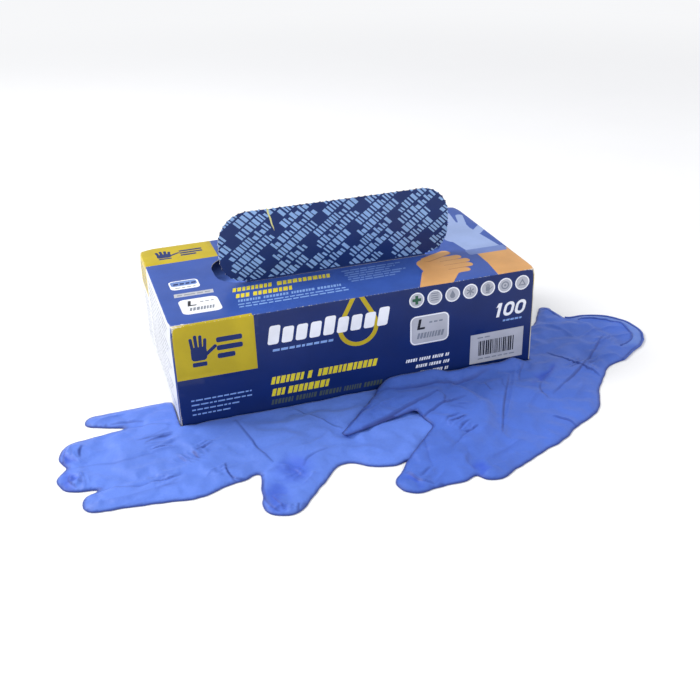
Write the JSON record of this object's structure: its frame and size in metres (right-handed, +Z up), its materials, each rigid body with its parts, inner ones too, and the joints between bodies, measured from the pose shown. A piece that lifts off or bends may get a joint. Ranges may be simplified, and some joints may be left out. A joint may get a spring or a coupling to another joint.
{
  "type": "glove dispenser carton",
  "caption": "Printed paperboard carton that dispenses disposable gloves through a torn-out flap in its top, with loose gloves lying beside it.",
  "frame": {"origin": "centre of the carton's base, on the table", "axes": "+X along the carton's long side, to the right seen from the front; +Y from the printed front to the back; +Z up"},
  "size_m": [0.413, 0.2465, 0.1177],
  "materials": {
    "printed_board": "satin coated print",
    "bare_board": "matte grey-white board back",
    "glue": "dried glue",
    "nitrile": "matte thin film"
  },
  "bodies": {
    "carton": {"front_panel": "printed_board", "top_panel": "printed_board", "back_panel": "printed_board", "bottom_panel": "printed_board", "seam_flap": "bare_board", "seam_glue": "glue", "left_outer_flap": "printed_board", "left_inner_flap": "bare_board", "left_front_dust_flap": "bare_board", "left_rear_dust_flap": "bare_board", "left_end_glue": "glue", "right_outer_flap": "printed_board", "right_inner_flap": "bare_board", "right_front_dust_flap": "bare_board", "right_rear_dust_flap": "bare_board", "right_end_glue": "glue", "glove_pile": "nitrile"},
    "flap": {"dispenser_flap": "printed_board"},
    "next_glove": {"next_glove": "nitrile"},
    "left_glove": {"loose_glove_left": "nitrile"},
    "right_glove": {"loose_glove_right": "nitrile"}
  },
  "joints": [
    {"name": "flap_crease", "type": "hinge", "parent": "carton", "child": "flap", "pos_m": [0, -0.016, 0.07005], "axis": [1, 0, 0], "range_deg": [-90, 82]},
    {"name": "next_glove_pull", "type": "slide", "parent": "carton", "child": "next_glove", "axis": [0, 0, 1], "range_m": [0, 0.08]},
    {"name": "left_glove_draw", "type": "slide", "parent": "carton", "child": "left_glove", "axis": [-1, 0, 0], "range_m": [0, 0.12]},
    {"name": "right_glove_lift", "type": "slide", "parent": "carton", "child": "right_glove", "axis": [0, 0, 1], "range_m": [0, 0.13]}
  ]
}
